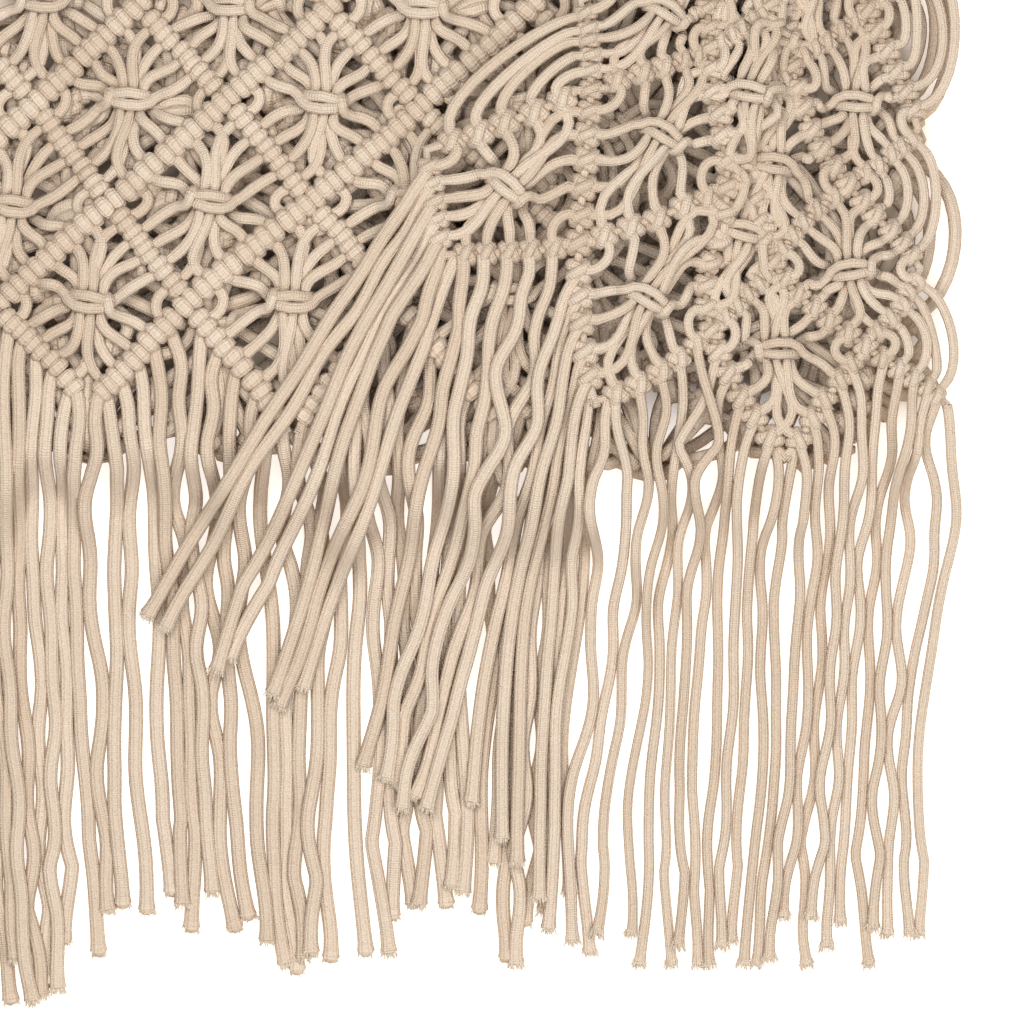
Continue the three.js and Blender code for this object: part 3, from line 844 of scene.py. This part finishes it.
def joined(tree, operation, *values):
    """Output of a new math node of these values, each a number or the output of another node."""
    node = tree.nodes.new("ShaderNodeMath")
    node.operation = operation
    for socket, value in zip(node.inputs, values):
        if isinstance(value, (int, float)):
            socket.default_value = value
        else:
            tree.links.new(value, socket)
    return node.outputs[0]


def attribute(tree, name, output):
    """Output of a new node that reads an attribute of the mesh."""
    node = tree.nodes.new("ShaderNodeAttribute")
    node.attribute_name = name
    return node.outputs[output]


def object_places(tree):
    """Output of a new node with the places on the object."""
    return tree.nodes.new("ShaderNodeTexCoord").outputs["Object"]


def noise(tree, scale, detail):
    """Output of a new noise texture on the object."""
    node = tree.nodes.new("ShaderNodeTexNoise")
    node.inputs["Scale"].default_value = scale
    node.inputs["Detail"].default_value = detail
    tree.links.new(object_places(tree), node.inputs["Vector"])
    return node.outputs["Fac"]


def braid_pattern(tree):
    """Plies that wind round the cord both ways and cross."""
    parts = tree.nodes.new("ShaderNodeSeparateXYZ")
    tree.links.new(attribute(tree, "cord_place", "Vector"), parts.inputs[0])
    turn = joined(tree, "ARCTAN2", parts.outputs[1], parts.outputs[0])
    turn = joined(tree, "MULTIPLY", turn, BRAID_PLIES)
    gone = joined(tree, "MULTIPLY", parts.outputs[2], BRAID_TURN)
    one = joined(tree, "SINE", joined(tree, "ADD", turn, gone))
    two = joined(tree, "SINE", joined(tree, "SUBTRACT", turn, gone))
    return joined(tree, "MULTIPLY", one, two)


def cream_colour(tree, braid, grain, dark, pale):
    """Soft changes between two colours, from cord to cord and along the cords, and in the braid and grain:
    paler where their relief is raised and darker in its grooves, which is painted shade, for the grain partly
    its own tone too.
    """
    tint = joined(tree, "MULTIPLY", attribute(tree, "cord_tint", "Fac"), TINT_SHADE)
    patches = joined(tree, "MULTIPLY", noise(tree, PATCH_SCALE, PATCH_DETAIL), PATCH_SHADE)
    # Painted shade: paler on the raised plies of the braid, darker in its grooves
    plies = joined(tree, "MULTIPLY", braid, BRAID_PAINTED_SHADE)
    # Grain tone and painted shade: darker where the grain's relief is low
    fibres = joined(tree, "MULTIPLY", joined(tree, "SUBTRACT", grain, 0.5), GRAIN_TONE_AND_PAINTED_SHADE)
    shade = joined(tree, "ADD", joined(tree, "ADD", tint, patches), plies)
    cream = tree.nodes.new("ShaderNodeValToRGB")
    cream.color_ramp.elements[0].color = dark
    cream.color_ramp.elements[1].color = pale
    tree.links.new(joined(tree, "ADD", shade, fibres), cream.inputs["Fac"])
    return cream.outputs["Color"]


def specked(tree, colour):
    """The colour with fine brown specks of seed."""
    seeds = tree.nodes.new("ShaderNodeTexVoronoi")
    seeds.inputs["Scale"].default_value = SPECK_SCALE
    tree.links.new(object_places(tree), seeds.inputs["Vector"])
    seed = joined(tree, "LESS_THAN", seeds.outputs["Distance"], SPECK_SIZE)
    mixed = tree.nodes.new("ShaderNodeMix")
    mixed.data_type = "RGBA"
    tree.links.new(joined(tree, "MULTIPLY", seed, SPECK_DEPTH), mixed.inputs["Factor"])
    tree.links.new(colour, mixed.inputs["A"])
    mixed.inputs["B"].default_value = linear(*SPECK_COLOUR)
    return mixed.outputs["Result"]


def cotton_material(name, colours, glow=0.0):
    """Braided cotton with a fine braid and grain in relief. A glow, where given, is painted light that stands
    in for the light which thin fibres let through."""
    dark, pale = [linear(*colour) for colour in colours]
    # The emission, at the strength glow, is painted light
    material, tree, shader = new_material(name, {
        "Roughness": 0.95, "Specular IOR Level": 0.15, "Sheen Weight": 0.1, "Sheen Roughness": 0.6,
        "Emission Color": pale, "Emission Strength": glow,
    })
    braid = braid_pattern(tree)
    grain = noise(tree, GRAIN_SCALE, GRAIN_DETAIL)
    bump = tree.nodes.new("ShaderNodeBump")
    bump.inputs["Strength"].default_value = RELIEF_STRENGTH
    bump.inputs["Distance"].default_value = RELIEF_DEPTH
    relief = joined(tree, "ADD", braid, joined(tree, "MULTIPLY", grain, GRAIN_RELIEF))
    tree.links.new(relief, bump.inputs["Height"])
    tree.links.new(bump.outputs["Normal"], shader.inputs["Normal"])
    colour = specked(tree, cream_colour(tree, braid, grain, dark, pale))
    tree.links.new(colour, shader.inputs["Base Color"])
    return material


def layer_courses(everything):
    """The stretch of every cord on each layer of the net."""
    parts = {}
    for name, start, end, _ in LAYERS:
        parts[name] = []
        for course, row in everything:
            on = np.flatnonzero((row >= start) & (row <= end))
            if len(on) > 1:
                parts[name].append(course[on[0] : on[-1] + 1].copy())
    return parts


def build_runner():
    """The net and the fringes, as pieces. The fringes are laid in the order in which they lie."""
    cotton = cotton_material("cotton_cord", CORD_COLOURS)
    # The frayed tips are paler and glow: painted light
    frayed = cotton_material("cotton_frayed_painted_glow", FRAYED_TONE_AND_PAINTED_LIGHT_COLOURS, FRAYED_PAINTED_GLOW)
    courses, rows = {}, {}
    for m in range(COLUMNS):
        for k in range(STRIP_CORDS):
            courses[m, k], rows[m, k] = strip_course(m, k)
    leaders = [leader_course(*start) for start in LEADER_STARTS]
    parts = layer_courses([(courses[key], rows[key]) for key in courses] + leaders)

    heap = Heap()
    for course in parts["lower_middle"] + parts["upper_middle"]:
        heap.add(course[:, :3])
    leader_courses = [course for course, _ in leaders]
    lower = fringe_strands(heap, fringe_roots(courses, leader_courses, 0), LOWER_FRINGE)
    for course in parts["lower_end"]:
        heap.add(course[:, :3])
    upper = fringe_strands(heap, fringe_roots(courses, leader_courses, ROWS), UPPER_FRINGE)

    for course in parts["lower_middle"] + parts["upper_middle"]:
        course[:, 3] *= SLACK_SHARE
    for name in ("lower_middle", "upper_middle", "lower_end", "upper_end"):
        sides = HIDDEN_SIDES if name.endswith("middle") else CORD_SIDES
        make_piece("net_" + name, parts[name], sides, "net", cotton)
    for name, strands in (("fringe_lower", lower), ("fringe_upper", upper)):
        make_piece(name + "_strands", [tapered(course) for course in strands], CORD_SIDES, name, cotton)
        fibres = [fibre for course in strands for fibre in tip_fibres(course)]
        make_piece(name + "_tips", fibres, FIBRE_SIDES, name, frayed)


def floor():
    """Floor, tan so that where it shows through the gaps of the net it reads as painted brown shade. It glows
    pale and bright where it lies open, and not beneath the net.
    """
    bpy.ops.mesh.primitive_plane_add(size=FLOOR_SIZE)
    plane = bpy.context.object
    plane.name = "floor"
    material, tree, shader = new_material("floor", {
        "Base Color": FLOOR_PAINTED_SHADE_COLOUR, "Roughness": 1.0, "Specular IOR Level": 0.0, "Emission Color": WHITE,
    })
    parts = tree.nodes.new("ShaderNodeSeparateXYZ")
    tree.links.new(object_places(tree), parts.inputs[0])
    right = joined(tree, "SUBTRACT", parts.outputs[0], OPEN_RIGHT)
    below = joined(tree, "SUBTRACT", OPEN_BELOW, parts.outputs[1])
    glow = joined(tree, "MULTIPLY", joined(tree, "MAXIMUM", right, below), FLOOR_GLOW / OPEN_FADE)
    glow = joined(tree, "MINIMUM", joined(tree, "MAXIMUM", glow, 0.0), FLOOR_GLOW)
    tree.links.new(glow, shader.inputs["Emission Strength"])
    plane.data.materials.append(material)


def light(name, place, size, power):
    """Soft lamp that points at the middle of the floor."""
    data = bpy.data.lights.new(name, "AREA")
    data.size = size
    data.energy = power
    data.color = LIGHT_COLOUR
    lamp = bpy.data.objects.new(name, data)
    lamp.location = place
    lamp.rotation_euler = (-lamp.location).to_track_quat("-Z", "Y").to_euler()
    bpy.context.collection.objects.link(lamp)


def studio():
    """Soft light from high up at the upper left and the lower right, and an even white surround."""
    light("key", place=(-0.5, 0.7, 2.2), size=1.2, power=41)
    light("fill", place=(0.5, -0.6, 1.8), size=1.6, power=36)
    world = bpy.data.worlds.new("surround")
    world.use_nodes = True
    background = world.node_tree.nodes["Background"]
    background.inputs["Color"].default_value = WHITE
    background.inputs["Strength"].default_value = SURROUND
    scene = bpy.context.scene
    scene.world = world
    scene.view_settings.view_transform = "Standard"


def camera():
    """Straight above the middle of the picture."""
    data = bpy.data.cameras.new("camera")
    data.sensor_width = SENSOR
    data.lens = SENSOR * CAMERA_HEIGHT / SHOWN_WIDTH
    data.dof.use_dof = False
    data.clip_end = CAMERA_REACH
    eye = bpy.data.objects.new("camera", data)
    eye.location = (-PLAN_CENTRE[0] / 1000, -PLAN_CENTRE[1] / 1000, CAMERA_HEIGHT)
    bpy.context.collection.objects.link(eye)
    bpy.context.scene.camera = eye


build_runner()
floor()
studio()
camera()
